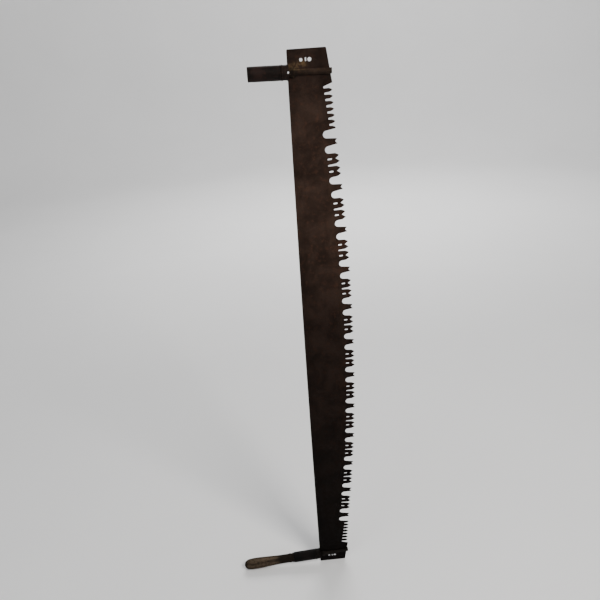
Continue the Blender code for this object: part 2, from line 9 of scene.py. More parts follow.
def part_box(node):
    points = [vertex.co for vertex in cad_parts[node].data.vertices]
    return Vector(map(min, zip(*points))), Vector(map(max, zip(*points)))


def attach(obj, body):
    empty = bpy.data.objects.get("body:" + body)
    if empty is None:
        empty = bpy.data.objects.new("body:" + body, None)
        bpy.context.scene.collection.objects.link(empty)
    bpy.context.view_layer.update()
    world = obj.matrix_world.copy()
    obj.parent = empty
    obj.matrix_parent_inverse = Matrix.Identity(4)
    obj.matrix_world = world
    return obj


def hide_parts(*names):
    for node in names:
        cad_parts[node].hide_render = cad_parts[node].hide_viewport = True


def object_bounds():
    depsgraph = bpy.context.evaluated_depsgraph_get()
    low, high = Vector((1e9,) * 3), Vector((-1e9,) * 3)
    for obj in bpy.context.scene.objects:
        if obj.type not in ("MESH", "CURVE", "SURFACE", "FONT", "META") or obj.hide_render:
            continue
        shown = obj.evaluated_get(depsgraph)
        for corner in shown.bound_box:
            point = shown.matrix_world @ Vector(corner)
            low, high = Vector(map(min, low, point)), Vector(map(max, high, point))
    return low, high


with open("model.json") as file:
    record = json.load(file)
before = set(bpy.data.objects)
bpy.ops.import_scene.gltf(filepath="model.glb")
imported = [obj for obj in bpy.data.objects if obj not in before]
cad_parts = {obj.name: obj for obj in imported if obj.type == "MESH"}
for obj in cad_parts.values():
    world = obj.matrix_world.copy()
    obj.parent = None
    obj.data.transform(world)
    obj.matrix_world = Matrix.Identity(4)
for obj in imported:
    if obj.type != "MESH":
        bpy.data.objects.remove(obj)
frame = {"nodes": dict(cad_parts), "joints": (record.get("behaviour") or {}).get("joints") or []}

CAD_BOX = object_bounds()

# ---- mesh detail -------------------------------------------------------------------------------
WELD = 2e-6
SMOOTH_ANGLE = radians(32)
ROUND_STEPS = 72
TUBE_STEPS = 96
GRIP_STEPS = 160
BOLT_STEPS = 40
BOWL_STEPS = 28
BAR_STEPS = 32
CLEARANCE = 0.0003

# ---- blade detail ------------------------------------------------------------------------------
EDGE_SPACING = 0.0011
EDGE_WANDER = 0.00009
CHAMFER = 0.00026
TIP_WEAR = (0.00025, 0.00062)
FILED_WIDTH = 0.00085
FILED_DEPTH = 0.00105
SET_AT_TIPS = 0.00024
SET_REACH = 0.0070
RAKER_GAP = 0.0121
SHARP_TIP = radians(100)
BROKEN_TIP_HEIGHT = 0.7565
BROKEN_TIP_REACH = 0.004
BROKEN_TIP_WEAR = 0.0026
WARP = 0.0005
WARP_STEP = 0.038
WARP_FREE_END = 0.08
WARP_GROWTH = 0.25
# the round mark: share of its radius, depth
BOWL = ((1.0, 0.0), (0.95, 0.00045), (0.80, 0.00068), (0.40, 0.00080))

# ---- handle detail -----------------------------------------------------------------------------
STRAP_ROUNDING = 0.00045
STRAP_WAVE = 0.00016
PIN_DENT = 0.00003
NAIL_DENT = 0.00004
BEAD = 0.0042
BEAD_RISE = 0.0010
BEAD_STEPS = 7
SADDLE_SPACING = 0.0015
SADDLE_DENT = 0.00016
WASHER_WEAR = 0.0004
WASHER_SPACING = 0.0016
WASHER_DENT = 0.00008
MOUTH_WEAR = 0.0009
TUBE_SPACING = 0.0022
TUBE_DENT = 0.00020
TUBE_OVAL = 0.00022
TUBE_OVAL_REACH = 0.022
TUBE_SEAM = 0.00045
TUBE_SEAM_TURN = 0.5
TUBE_SEAM_WIDTH = 0.045
THREAD_PITCH = 0.001954
THREAD_DEPTH = 0.00062
THREAD_RUNOUT = (0.0022, 0.0030)
THREAD_STEPS_A_TURN = 8
BOLT_POINT = (0.0008, 0.0015)
RIVET_HOLE_RADIUS = 0.0020
GRIP_TIP_STEPS = 16
GRIP_SPACING = 0.0016
GRIP_RIPPLE = 0.00035
GRIP_SCRATCH = 0.00012
# share of the way from the socket's mouth to the tip, radius as a share of the thickest
GRIP_LINE = (
    (0.000, 0.815),
    (0.006, 0.850),
    (0.012, 0.866),
    (0.021, 0.866),
    (0.028, 0.850),
    (0.036, 0.792),
    (0.042, 0.780),
    (0.050, 0.782),
    (0.056, 0.812),
    (0.064, 0.845),
    (0.073, 0.850),
    (0.084, 0.843),
    (0.094, 0.810),
    (0.102, 0.795),
    (0.150, 0.790),
    (0.248, 0.800),
    (0.320, 0.822),
    (0.391, 0.848),
    (0.460, 0.880),
    (0.528, 0.915),
    (0.600, 0.948),
    (0.665, 0.976),
    (0.725, 0.993),
    (0.777, 1.000),
    (0.815, 0.994),
    (0.857, 0.964),
)
GRIP_TIP_BLUNTNESS = 0.82
CRACK_WIDTH = 0.055
CRACK_FADE = 0.012
CRACK_WANDER = 0.10
# start and end along the handle, turn round it, depth
CRACKS = (
    (-0.155, -0.236, 2.3, 0.0012),
    (-0.120, -0.190, 4.1, 0.0008),
    (-0.175, -0.243, 5.4, 0.0010),
    (-0.205, -0.244, 0.9, 0.0013),
    (-0.098, -0.140, 3.3, 0.0006),
)

# ---- finishes ----------------------------------------------------------------------------------
# linear colours of rust: darkest, usual, warm, golden
BLADE_TONES = (
    (0.0161, 0.0095, 0.0068),
    (0.0370, 0.0219, 0.0159),
    (0.0565, 0.0262, 0.0166),
    (0.0980, 0.0620, 0.0290),
)
STRAP_TONES = (
    (0.0090, 0.0056, 0.0034),
    (0.0285, 0.0168, 0.0112),
    (0.0440, 0.0220, 0.0125),
    (0.0750, 0.0480, 0.0220),
)
TUBE_TONES = (
    (0.0056, 0.0042, 0.0034),
    (0.0190, 0.0104, 0.0086),
    (0.0350, 0.0160, 0.0118),
    (0.0460, 0.0260, 0.0170),
)
RING_TONES = (
    (0.0060, 0.0042, 0.0034),
    (0.0165, 0.0098, 0.0072),
    (0.0320, 0.0150, 0.0092),
    (0.0600, 0.0320, 0.0160),
)
PIN_TONES = (
    (0.0120, 0.0080, 0.0062),
    (0.0320, 0.0210, 0.0155),
    (0.0540, 0.0280, 0.0160),
    (0.0900, 0.0500, 0.0260),
)
# painted shade: the lower handle's iron is a darker, colder copy of the upper handle's, as the saw is darker
# near the floor
LOWER_PAINTED_SHADE = (0.30, 0.38, 0.42)
WOOD_DARK = (0.0270, 0.0185, 0.0120)
WOOD_PALE = (0.0820, 0.0590, 0.0390)
WOOD_FIBRE = (0.0170, 0.0105, 0.0062)
WOOD_STAIN = (0.0066, 0.0046, 0.0030)
# metallic, specular level
IRON_GLOSS = (0.05, 0.07)
BLADE_GLOSS = (0.03, 0.05)
WOOD_GLOSS = (0.0, 0.06)
PAPER_GLOSS = (0.0, 0.1)
BLADE_GRAIN = 120.0
# tones along the blade, partly its own and partly painted shade, darker towards its lower end and at its top
# end: from and to as shares of its length, shade before, shade after
BLADE_TONE_AND_PAINTED_SHADE = (
    (0.05, 0.70, 0.16, 1.0),
    (0.55, 0.72, 0.52, 1.0),
    (0.90, 0.965, 1.0, 0.64),
)
BACK_SHADE = (0.02, 0.25, 0.86, 1.0)
# the teeth, below the arc of their tips, are darker than the plate
TOOTH_LINE_DROP = 0.0514
TOOTH_SHADE = (0.006, 0.030, 0.70, 1.0)
# the upper strap: where its dark lug ends, and where its golden rim and the painted shade on its underside
# lie
STRAP_LUG_END = 0.0225
STRAP_LUG_BLUR = 0.004
STRAP_LUG_SHADE = 0.62
STRAP_RIM_REACH = 0.030
STRAP_RIM = (0.0022, 0.0060)
STRAP_UNDERSIDE_PAINTED_SHADE = (-0.0035, 0.0005, 0.62, 1.0)
# golden rust lies above the upper strap, between the back edge and the bolt holes
GOLD_SLOPE = 0.045
GOLD_HEIGHTS = (0.009, 0.016)
GOLD_FADE = (0.002, 0.012)
GOLD_SIDE = (0.034, 0.066)
# the stain on the grip, along it from the socket's mouth and from its tip
SOCKET_STAIN = (0.068, 0.040)
TIP_STAIN = (0.004, 0.024)

# ---- stage -------------------------------------------------------------------------------------
STAGE_FLAT_RADII = (0.5, 1.5, 3.5, 6.0)
STAGE_COVE_RADIUS = 2.0
STAGE_COVE_STEPS = 12
STAGE_HEIGHT = 6.0
STAGE_STEPS = 96
STAGE_COLOUR = (0.83, 0.825, 0.82)
WORLD_COLOUR = (0.93, 0.96, 1.0)
WORLD_STRENGTH = 0.33
# place, aim, width, height, power, colour
LIGHTS = {
    "key_light": ((1.25, -1.6, 2.75), (0.0, 0.0, 1.1), 0.9, 0.9, 78.0, (1.0, 0.975, 0.94)),
    "fill_light": ((-2.6, -2.2, 2.0), (0.0, 0.0, 0.9), 2.0, 2.0, 26.0, (0.94, 0.97, 1.0)),
    "back_light": ((0.6, 3.4, 3.4), (0.3, 1.6, 0.4), 2.6, 2.0, 110.0, (1.0, 1.0, 1.0)),
    "wall_light": ((1.2, 3.2, 3.6), (0.9, 7.5, 1.4), 2.4, 1.6, 150.0, (1.0, 1.0, 1.0)),
}
CAMERA_PLACE = (-0.1001, -1.2515, 1.5473)
CAMERA_RIGHT = (0.99542, -0.07175, -0.06314)
CAMERA_UP = (0.08789, 0.42758, 0.89970)
CAMERA_BACK = (-0.03755, -0.90113, 0.43193)
CAMERA_LENS = 33.0


# ---- small helpers -----------------------------------------------------------------------------
def wave(x, y, z, scale, seed=0.0):
    """Smooth noise from -1 to 1 at a point."""
    return noise.noise(Vector((x * scale + seed, y * scale - seed, z * scale + 2.3 * seed)))


def smooth_step(share):
    share = max(0.0, min(1.0, share))
    return share * share * (3 - 2 * share)


def turn_between(turn, other):
    """The turn from the other angle, from -pi to pi."""
    return atan2(sin(turn - other), cos(turn - other))


def object_from(bm, name, finish, place=None):
    """Makes a smooth-shaded object from the bmesh, with its corners kept sharp."""
    bmesh.ops.recalc_face_normals(bm, faces=bm.faces)
    mesh = bpy.data.meshes.new(name)
    bm.to_mesh(mesh)
    bm.free()
    mesh.shade_smooth()
    mesh.set_sharp_from_angle(angle=SMOOTH_ANGLE)
    mesh.materials.append(finish)
    obj = bpy.data.objects.new(name, mesh)
    bpy.context.scene.collection.objects.link(obj)
    if place is not None:
        obj.matrix_world = place
    return obj


def applied(obj):
    """Bakes the object's modifiers into its mesh."""
    bpy.context.view_layer.update()
    depsgraph = bpy.context.evaluated_depsgraph_get()
    mesh = bpy.data.meshes.new_from_object(obj.evaluated_get(depsgraph), depsgraph=depsgraph)
    obj.modifiers.clear()
    old = obj.data
    obj.data = mesh
    bpy.data.meshes.remove(old)


def boolean(obj, bm, operation):
    """Cuts or adds the bmesh, given in the object's own frame."""
    mesh = bpy.data.meshes.new("tool_shape")
    bm.to_mesh(mesh)
    bm.free()
    tool = bpy.data.objects.new("tool_shape", mesh)
    bpy.context.scene.collection.objects.link(tool)
    tool.matrix_world = obj.matrix_world
    modifier = obj.modifiers.new("shape", "BOOLEAN")
    modifier.operation = operation
    modifier.solver = "EXACT"
    modifier.object = tool
    applied(obj)
    bpy.data.objects.remove(tool)
    bpy.data.meshes.remove(mesh)
    obj.data.shade_smooth()
    obj.data.set_sharp_from_angle(angle=SMOOTH_ANGLE)


def block(low, high):
    low, high = Vector(low), Vector(high)
    bm = bmesh.new()
    place = Matrix.Translation((low + high) / 2) @ Matrix.Diagonal((*(high - low), 1.0))
    bmesh.ops.create_cube(bm, size=1.0, matrix=place)
    return bm


def bar(start, end, radius):
    a, b = Vector(start), Vector(end)
    place = Matrix.Translation((a + b) / 2) @ (b - a).to_track_quat("Z", "Y").to_matrix().to_4x4()
    bm = bmesh.new()
    bmesh.ops.create_cone(
        bm,
        cap_ends=True,
        segments=BAR_STEPS,
        radius1=radius,
        radius2=radius,
        depth=(b - a).length,
        matrix=place,
    )
    return bm


def ring_turns(steps):
    return [2 * pi * i / steps for i in range(steps)]


def bridged(bm, rings):
    """Joins each ring of vertices to the following one with a band of faces."""
    for ring, beyond in zip(rings, rings[1:]):
        count = len(ring)
        for i in range(count):
            j = (i + 1) % count
            bm.faces.new((ring[i], ring[j], beyond[j], beyond[i]))


def ring_edges(bm, ring):
    return [bm.edges.get((vert, ring[(i + 1) % len(ring)])) for i, vert in enumerate(ring)]


def turned(profile, steps=ROUND_STEPS, shape=None):
    """A solid turned about X from a closed (x, radius) profile. shape(x, radius, turn) changes a radius."""
    bm = bmesh.new()
    rings = []
    for x, radius in profile:
        if radius == 0:
            rings.append([bm.verts.new((x, 0, 0))] * steps)
            continue
        ring = []
        for turn in ring_turns(steps):
            r = shape(x, radius, turn) if shape else radius
            ring.append(bm.verts.new((x, r * cos(turn), r * sin(turn))))
        rings.append(ring)
    on_axis = any(radius == 0 for _, radius in profile)
    following = rings[1:] if on_axis else rings[1:] + rings[:1]
    for ring, beyond in zip(rings, following):
        for i in range(steps):
            j = (i + 1) % steps
            corners = [ring[i], ring[j], beyond[j], beyond[i]]
            bm.faces.new(list(dict.fromkeys(corners)))
    return bm


def spaced(profile, longest):
    """Adds points to an (x, radius) line so that no stretch of it is too long."""
    points = []
    for (x0, r0), (x1, r1) in zip(profile, profile[1:]):
        count = max(1, int(hypot(x1 - x0, r1 - r0) / longest + 0.999))
        points += [(x0 + (x1 - x0) * i / count, r0 + (r1 - r0) * i / count) for i in range(count)]
    return points + [profile[-1]]


# ---- materials ---------------------------------------------------------------------------------
class Finish:
    """A node material with short calls for its nodes."""

    def __init__(self, name):
        self.material = bpy.data.materials.new(name)
        self.material.use_nodes = True
        self.tree = self.material.node_tree
        self.shader = self.tree.nodes["Principled BSDF"]
        self.place = self.add("ShaderNodeTexCoord").outputs["Object"]

    def add(self, kind, inputs=None, **settings):
        node = self.tree.nodes.new(kind)
        for name, value in settings.items():
            setattr(node, name, value)
        for name, value in (inputs or {}).items():
            self.feed(node.inputs[name], value)
        return node

    def feed(self, socket, value):
        if isinstance(value, bpy.types.NodeSocket):
            self.tree.links.new(value, socket)
        else:
            socket.default_value = value

    def moved(self, scale, offset=(0.0, 0.0, 0.0)):
        inputs = {"Vector": self.place, "Scale": scale, "Location": offset}
        return self.add("ShaderNodeMapping", inputs).outputs["Vector"]

    def noise(self, scale, detail=4.0, roughness=0.55, place=None, distortion=0.0):
        inputs = {
            "Vector": place or self.place,
            "Scale": scale,
            "Detail": detail,
            "Roughness": roughness,
            "Distortion": distortion,
        }
        return self.add("ShaderNodeTexNoise", inputs).outputs["Fac"]

    def cells(self, scale, place):
        inputs = {"Vector": place, "Scale": scale}
        return self.add("ShaderNodeTexVoronoi", inputs, feature="SMOOTH_F1").outputs["Distance"]

    def line(self, value, low, high, out_low=0.0, out_high=1.0, kind="LINEAR"):
        inputs = {"Value": value, "From Min": low, "From Max": high, "To Min": out_low, "To Max": out_high}
        return self.add("ShaderNodeMapRange", inputs, interpolation_type=kind).outputs["Result"]

    def ramp(self, value, low, high, out_low=0.0, out_high=1.0):
        return self.line(value, low, high, out_low, out_high, "SMOOTHSTEP")

    def maths(self, operation, a, b=0.0):
        node = self.add("ShaderNodeMath", operation=operation)
        self.feed(node.inputs[0], a)
        self.feed(node.inputs[1], b)
        return node.outputs[0]

    def product(self, *factors):
        result = factors[0]
        for factor in factors[1:]:
            result = self.maths("MULTIPLY", result, factor)
        return result

    def mix(self, share, a, b, blend_type="MIX"):
        node = self.add("ShaderNodeMix", data_type="RGBA", blend_type=blend_type)
        self.feed(node.inputs["Factor"], share)
        for socket, value in zip((node.inputs[6], node.inputs[7]), (a, b)):
            self.feed(socket, value if isinstance(value, bpy.types.NodeSocket) else (*value, 1.0))
        return node.outputs[2]

    def scaled(self, colour, amount):
        """The colour times a number from the nodes."""
        grey = self.add("ShaderNodeCombineColor", {"Red": amount, "Green": amount, "Blue": amount})
        return self.mix(1.0, colour, grey.outputs["Color"], "MULTIPLY")

    def axes(self):
        split = self.add("ShaderNodeSeparateXYZ", {"Vector": self.place})
        return split.outputs["X"], split.outputs["Y"], split.outputs["Z"]

    def bump(self, height, distance, strength, under=None):
        inputs = {"Height": height, "Distance": distance, "Strength": strength}
        if under is not None:
            inputs["Normal"] = under
        return self.add("ShaderNodeBump", inputs).outputs["Normal"]

    def close(self, colour, roughness, normal, gloss):
        self.feed(self.shader.inputs["Base Color"], colour)
        self.feed(self.shader.inputs["Roughness"], roughness)
        self.feed(self.shader.inputs["Normal"], normal)
        metallic, specular = gloss
        self.shader.inputs["Metallic"].default_value = metallic
        self.shader.inputs["Specular IOR Level"].default_value = specular
        return self.material


def rust_colour(f, tones, grain, seed):
    """Mottled rust in three sizes of patch. Returns the colour, the two finer noises and their place."""
    dark, usual, warm, _ = tones
    here = f.moved((1.0, 1.0, 1.0), (seed, -seed, seed * 0.5))
    patches = f.noise(grain * 0.12, 6.0, 0.62, here, 0.6)
    spots = f.noise(grain * 0.9, 5.0, 0.65, here)
    fine = f.noise(grain * 5.0, 3.0, 0.6, here)
    colour = f.mix(f.ramp(patches, 0.34, 0.66), dark, usual)
    colour = f.mix(f.ramp(spots, 0.50, 0.72, 0.0, 0.55), colour, warm)
    colour = f.mix(f.ramp(fine, 0.56, 0.70, 0.0, 0.65), colour, dark)
    return colour, spots, fine, here


def rust_relief(f, here, grain, spots, fine):
    """Scale and pits on rusted iron."""
    soft = f.bump(spots, 0.0010, 0.35)
    pits = f.ramp(f.cells(grain * 3.0, here), 0.10, 0.42)
    pitted = f.bump(pits, 0.0003, 0.35, soft)
    return f.bump(fine, 0.0002, 0.5, pitted)


def iron_finish(name, tones, grain, seed, roughness=(0.52, 0.86), lug_end=None):
    """Rusted iron of a handle piece. A strap is darker on its lug, golden on its upper rim, and has painted
    shade on its underside.
    """
    f = Finish(name)
    colour, spots, fine, here = rust_colour(f, tones, grain, seed)
    gold_spots = f.noise(grain * 0.35, 5.0, 0.7, here)
    gold = f.ramp(gold_spots, 0.58, 0.74, 0.0, 0.35)
    if lug_end is not None:
        x, _, z = f.axes()
        rising = f.ramp(x, 0.0, lug_end, 0.25, 1.0)
        falling = f.ramp(x, lug_end, lug_end + STRAP_RIM_REACH, 1.0, 0.0)
        rim_spots = f.ramp(gold_spots, 0.42, 0.58, 0.0, 0.8)
        gold = f.maths("MAXIMUM", gold, f.product(f.ramp(z, *STRAP_RIM), rising, falling, rim_spots))
        lug_shade = f.ramp(x, lug_end - STRAP_LUG_BLUR, lug_end + STRAP_LUG_BLUR, STRAP_LUG_SHADE, 1.0)
        # the lug is darker; the strap's lower side is darkened as painted shade
        colour = f.scaled(colour, f.product(lug_shade, f.ramp(z, *STRAP_UNDERSIDE_PAINTED_SHADE)))
    colour = f.mix(gold, colour, tones[3])
    rough = f.line(spots, 0.3, 0.7, *roughness)
    return f.close(colour, rough, rust_relief(f, here, grain, spots, fine), IRON_GLOSS)


def blade_finish(low, high, strap_height):
    """The blade's rust, redder at the teeth and golden above the upper strap; darker down its length and at
    its top end, partly its own tone and partly painted shade.
    """
    f = Finish("blade_rust")
    x, _, z = f.axes()
    colour, spots, fine, here = rust_colour(f, BLADE_TONES, BLADE_GRAIN, 3.7)
    across = f.line(x, low.x, high.x)
    streaks = f.noise(1.0, 5.0, 0.65, f.moved((75.0, 75.0, 5.0), (0.3, 0.0, 1.1)))
    colour = f.mix(f.ramp(streaks, 0.52, 0.74, 0.0, 0.45), colour, BLADE_TONES[0])
    red_spots = f.ramp(f.noise(26.0, 6.0, 0.7, here), 0.48, 0.62)
    red = f.product(red_spots, f.ramp(across, 0.45, 0.95, 0.0, 0.75))
    colour = f.mix(red, colour, BLADE_TONES[2])
    along = f.line(z, low.z, high.z)
    # partly painted shade: the blade darkens towards its lower end and at its very top end
    shades = [f.ramp(along, *shade) for shade in BLADE_TONE_AND_PAINTED_SHADE]
    from_middle = f.line(along, 0.0, 1.0, -1.0, 1.0)
    drop = f.product(from_middle, from_middle, TOOTH_LINE_DROP)
    tip_depth = f.maths("SUBTRACT", f.maths("SUBTRACT", high.x, drop), x)
    shades += [f.ramp(across, *BACK_SHADE), f.ramp(tip_depth, *TOOTH_SHADE)]
    colour = f.scaled(colour, f.product(*shades))
    band_height = f.ramp(x, low.x, low.x + GOLD_SLOPE, *GOLD_HEIGHTS)
    off_band = f.maths("ABSOLUTE", f.maths("SUBTRACT", f.maths("SUBTRACT", z, strap_height), band_height))
    side = f.ramp(x, low.x + GOLD_SIDE[0], low.x + GOLD_SIDE[1], 1.0, 0.05)
    in_band = f.product(f.ramp(off_band, *GOLD_FADE, 1.0, 0.0), side)
    blots = f.maths("ADD", f.noise(105.0, 6.0, 0.75, here, 0.4), f.product(in_band, 0.16))
    colour = f.mix(f.product(in_band, f.ramp(blots, 0.53, 0.72), 0.62), colour, BLADE_TONES[3])
    rough = f.line(spots, 0.3, 0.7, 0.55, 0.88)
    return f.close(colour, rough, rust_relief(f, here, BLADE_GRAIN, spots, fine), BLADE_GLOSS)


def wood_finish(socket_end, tip):
    """Bare turned wood: pale and grey in the middle, stained dark near the socket and at the tip."""
    f = Finish("weathered_wood")
    x, _, _ = f.axes()
    grain_place = f.moved((7.0, 95.0, 95.0), (0.4, 0.1, 0.2))
    grain = f.noise(1.0, 7.0, 0.62, grain_place, 0.5)
    fibres = f.noise(1.0, 4.0, 0.6, f.moved((22.0, 620.0, 620.0)))
    colour = f.mix(f.ramp(grain, 0.36, 0.66), WOOD_DARK, WOOD_PALE)
    colour = f.mix(f.ramp(fibres, 0.52, 0.72, 0.0, 0.55), colour, WOOD_FIBRE)
    blotch = f.product(f.maths("SUBTRACT", f.noise(45.0, 5.0, 0.65), 0.5), 0.040)
    along = f.maths("ADD", x, blotch)
    near_socket = f.ramp(along, socket_end - SOCKET_STAIN[0], socket_end - SOCKET_STAIN[1])
    at_tip = f.ramp(along, tip + TIP_STAIN[0], tip + TIP_STAIN[1], 0.85, 0.0)
    stain = f.maths("MAXIMUM", near_socket, at_tip)
    grime = f.ramp(f.noise(150.0, 5.0, 0.72), 0.46, 0.62, 0.0, 0.62)
    colour = f.mix(f.maths("MAXIMUM", f.product(stain, 0.93), grime), colour, WOOD_STAIN)
    rough = f.line(grain, 0.3, 0.7, 0.62, 0.92)
    ridges = f.bump(grain, 0.0006, 0.5)
    normal = f.bump(fibres, 0.0003, 0.6, ridges)
    return f.close(colour, rough, normal, WOOD_GLOSS)


# ---- blade -------------------------------------------------------------------------------------
def welded(node):
    bm = bmesh.new()
    bm.from_mesh(frame["nodes"][node].data)
    bmesh.ops.remove_doubles(bm, verts=bm.verts, dist=WELD)
    return bm


def face_loops(bm, level):
    """Boundary loops of the flat face at this y, as (x, z) lists with the material on one side."""
    flat = {f for f in bm.faces if all(abs(v.co.y - level) < WELD for v in f.verts)}
    following = {}
    for face in flat:
        for corner in face.loops:
            if sum(f in flat for f in corner.edge.link_faces) == 1:
                following[corner.vert] = corner.link_loop_next.vert
    loops = []
    while following:
        start = next(iter(following))
        loop, vert = [], start
        while vert in following:
            loop.append((vert.co.x, vert.co.z))
            vert = following.pop(vert)
        loops.append(loop)
    return sorted(loops, key=len, reverse=True)


def middle(loop):
    return Vector((sum(x for x, _ in loop) / len(loop), sum(z for _, z in loop) / len(loop)))


def turn_at(a, b, c):
    """The angle between the two edges that meet at b."""
    u, v = Vector(a) - Vector(b), Vector(c) - Vector(b)
    return acos(max(-1.0, min(1.0, u.dot(v) / max(u.length * v.length, 1e-12))))


def is_convex(a, b, c):
    """True where the material fills the small angle at b. The loops run with it on their right."""
    return (b[0] - a[0]) * (c[1] - b[1]) - (b[1] - a[1]) * (c[0] - b[0]) < 0


def worn_tips(loop):
    """Rounds every sharp tooth tip by its wear. Returns the new loop and the tips' places."""
    points, tips = [], []
    count = len(loop)
    for i, point in enumerate(loop):
        before, after = loop[i - 1], loop[(i + 1) % count]
        angle = turn_at(before, point, after)
        if angle > SHARP_TIP or not is_convex(before, point, after):
            points.append(point)
            continue
        share = 0.5 + 0.5 * wave(point[0], 0, point[1], 61.0, 4.2)
        wear = TIP_WEAR[0] + (TIP_WEAR[1] - TIP_WEAR[0]) * share
        if abs(point[1] - BROKEN_TIP_HEIGHT) < BROKEN_TIP_REACH:
            wear = BROKEN_TIP_WEAR
        p, a, b = Vector(point), Vector(before), Vector(after)
        to_a, to_b = (a - p).normalized(), (b - p).normalized()
        rounded = p + (to_a + to_b) * wear * 0.22
        points += [tuple(p + to_a * wear), tuple(rounded), tuple(p + to_b * wear)]
        tips.append(p)
    return points, tips


def resampled(loop):
    points = []
    for a, b in zip(loop, loop[1:] + loop[:1]):
        count = max(1, int(hypot(b[0] - a[0], b[1] - a[1]) / EDGE_SPACING))
        points += [(a[0] + (b[0] - a[0]) * i / count, a[1] + (b[1] - a[1]) * i / count) for i in range(count)]
    return points


def inward(loop, i):
    """The mitred direction into the material at a point, whose length keeps an even offset."""
    a, b, c = Vector(loop[i - 1]), Vector(loop[i]), Vector(loop[(i + 1) % len(loop)])
    first, second = (b - a).normalized(), (c - b).normalized()
    n1, n2 = Vector((first.y, -first.x)), Vector((second.y, -second.x))
    total = n1 + n2
    if total.length < 0.2:
        return n1
    return total / max(total.length_squared / 2, 0.35)


def eaten(loop, floor_height):
    """Lets rust wander along the edge, and leaves the end that the blade stands on straight."""
    points = []
    for i, (x, z) in enumerate(loop):
        amount = 0.65 * wave(x, 0, z, 330.0, 1.7) + 0.35 * wave(x, 0, z, 900.0, 8.1)
        inset = EDGE_WANDER * (0.6 + amount) * smooth_step((z - floor_height) / 0.004)
        step = inward(loop, i) * max(0.0, inset)
        points.append((x + step.x, z + step.y))
    return points


def tip_sides(tips):
    """Which way each cutter leans: alternately to either face, and rakers not at all."""
    tips = sorted(tips, key=lambda p: p.y)
    sides, side = [], 1
    for i, tip in enumerate(tips):
        gaps = [abs(tips[j].y - tip.y) for j in (i - 1, i + 1) if 0 <= j < len(tips)]
        is_raker = min(gaps) < RAKER_GAP
        sides.append((tip, 0 if is_raker else side))
        side = side if is_raker else -side
    return sides


def lean_at(x, z, sides):
    """(side, share) of the nearest tip at a point of the edge."""
    best, reach = 0, SET_REACH
    for tip, side in sides:
        if abs(tip.y - z) < reach:
            distance = hypot(tip.x - x, tip.y - z)
            if distance < reach:
                best, reach = side, distance
    return best, smooth_step(1 - reach / SET_REACH)


def warp(x, z, low, high):
    """A slight wave of the whole blade, none where the straps hold it."""
    from_end = min(z - low.z, high.z - z)
    return WARP * wave(x, 0, z, 3.1, 5.5) * smooth_step((from_end - WARP_FREE_END) / WARP_GROWTH)


def blade_mesh(low, high):
    """The blade from its CAD outline, with chamfered, worn, filed and slightly set teeth."""
    source = welded("blade")
    half = (high.y - low.y) / 2
    far_loops = face_loops(source, half)
    near_loops = face_loops(source, -half)
    source.free()
    far_middles = [middle(loop) for loop in far_loops]
    bowls = [lp for lp in near_loops if min((middle(lp) - m).length for m in far_middles) > 0.003]
    outline, tips = worn_tips(far_loops[0])
    sides = tip_sides(tips)
    bm = bmesh.new()
    near_edges, far_edges = [], []
    for k, loop in enumerate([outline] + far_loops[1:]):
        loop = eaten(resampled(loop), low.z)
        rings = [[], [], [], []]
        for i, (x, z) in enumerate(loop):
            step = inward(loop, i)
            side, share = lean_at(x, z, sides) if k == 0 else (0, 0.0)
            push = side * SET_AT_TIPS * share
            files = [share * (side > 0), share * (side < 0)]
            widths = [CHAMFER + (FILED_WIDTH - CHAMFER) * s for s in files]
            depths = [CHAMFER + (FILED_DEPTH - CHAMFER) * s for s in files]
            rings[0].append(bm.verts.new((x + step.x * widths[0], push - half, z + step.y * widths[0])))
            rings[1].append(bm.verts.new((x, push - half + depths[0], z)))
            rings[2].append(bm.verts.new((x, push + half - depths[1], z)))
            rings[3].append(bm.verts.new((x + step.x * widths[1], push + half, z + step.y * widths[1])))
        bridged(bm, rings)
        near_edges += ring_edges(bm, rings[0])
        far_edges += ring_edges(bm, rings[3])
    for loop in bowls:
        near_edges += sunk_bowl(bm, loop, -half)
    for edges in (near_edges, far_edges):
        bmesh.ops.triangle_fill(bm, use_beauty=True, use_dissolve=False, edges=edges)
    height = low.z + WARP_STEP
    while height < high.z:
        geom = bm.verts[:] + bm.edges[:] + bm.faces[:]
        bmesh.ops.bisect_plane(bm, geom=geom, dist=1e-6, plane_co=(0, 0, height), plane_no=(0, 0, 1))
        height += WARP_STEP
    for vert in bm.verts:
        vert.co.y += warp(vert.co.x, vert.co.z, low, high)
    return bm


def sunk_bowl(bm, loop, face):
    """A shallow round mark drilled into the near face. Returns its rim's edges."""
    centre = middle(loop)
    radius = (Vector(loop[0]) - centre).length
    rings = []
    for share, depth in BOWL:
        reach = radius * share
        outward = [(reach * cos(turn), reach * sin(turn)) for turn in ring_turns(BOWL_STEPS)]
        places = [(centre.x + x, face + depth, centre.y + z) for x, z in outward]
        rings.append([bm.verts.new(place) for place in places])
    bridged(bm, rings)
    bm.faces.new(rings[-1])
    return ring_edges(bm, rings[0])


def show(obj, node, body):
    """The piece stands for its CAD node and rides on its body."""
    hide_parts(node)
    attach(obj, body)


def make_blade(strap_height):
    low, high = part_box("blade")
    blade = object_from(blade_mesh(low, high), "saw_blade_plate", blade_finish(low, high, strap_height))
    show(blade, "blade", "saw_blade")


